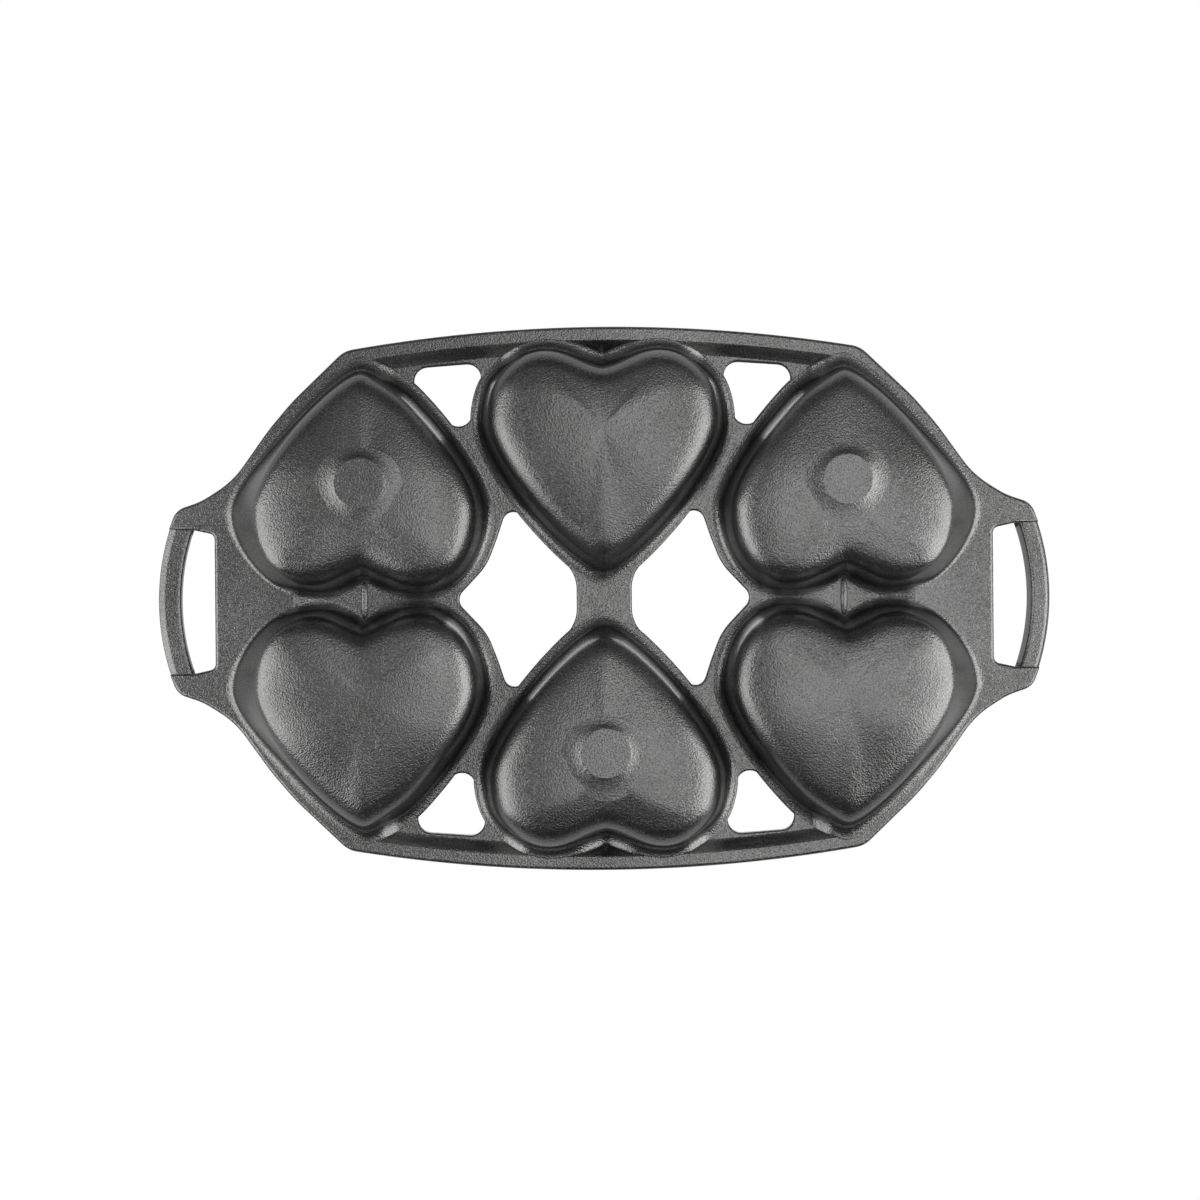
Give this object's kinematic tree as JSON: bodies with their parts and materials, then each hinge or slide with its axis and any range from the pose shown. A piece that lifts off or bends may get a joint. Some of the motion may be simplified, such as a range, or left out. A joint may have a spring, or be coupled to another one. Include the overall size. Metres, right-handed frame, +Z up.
{
  "type": "mini cake pan",
  "caption": "Cast iron mini cake pan: rows of heart-shaped cups hung in a flat web with windows, a loop handle at each end and round feet under the cups.",
  "frame": {"origin": "on the table under the middle of the pan, level with the soles of the feet", "axes": "+X along the pan from handle to handle, +Y across it towards the row with one foot, +Z up out of the cups"},
  "size_m": [0.355, 0.2162, 0.035],
  "materials": {
    "iron": "seasoned, sand-cast grain, satin"
  },
  "bodies": {
    "root": {"heart_cup_front_left": "iron", "heart_cup_front_middle": "iron", "heart_cup_front_right": "iron", "heart_cup_back_left": "iron", "heart_cup_back_middle": "iron", "heart_cup_back_right": "iron", "web_centre": "iron", "web_left": "iron", "web_right": "iron", "web_front_left": "iron", "web_front_right": "iron", "web_back_left": "iron", "web_back_right": "iron", "rim_front": "iron", "rim_back": "iron", "wing_left": "iron", "wing_right": "iron", "handle_left": "iron", "handle_right": "iron", "foot_front_left": "iron", "foot_front_right": "iron", "foot_back_middle": "iron", "rib_left": "iron", "rib_right": "iron"}
  },
  "joints": []
}
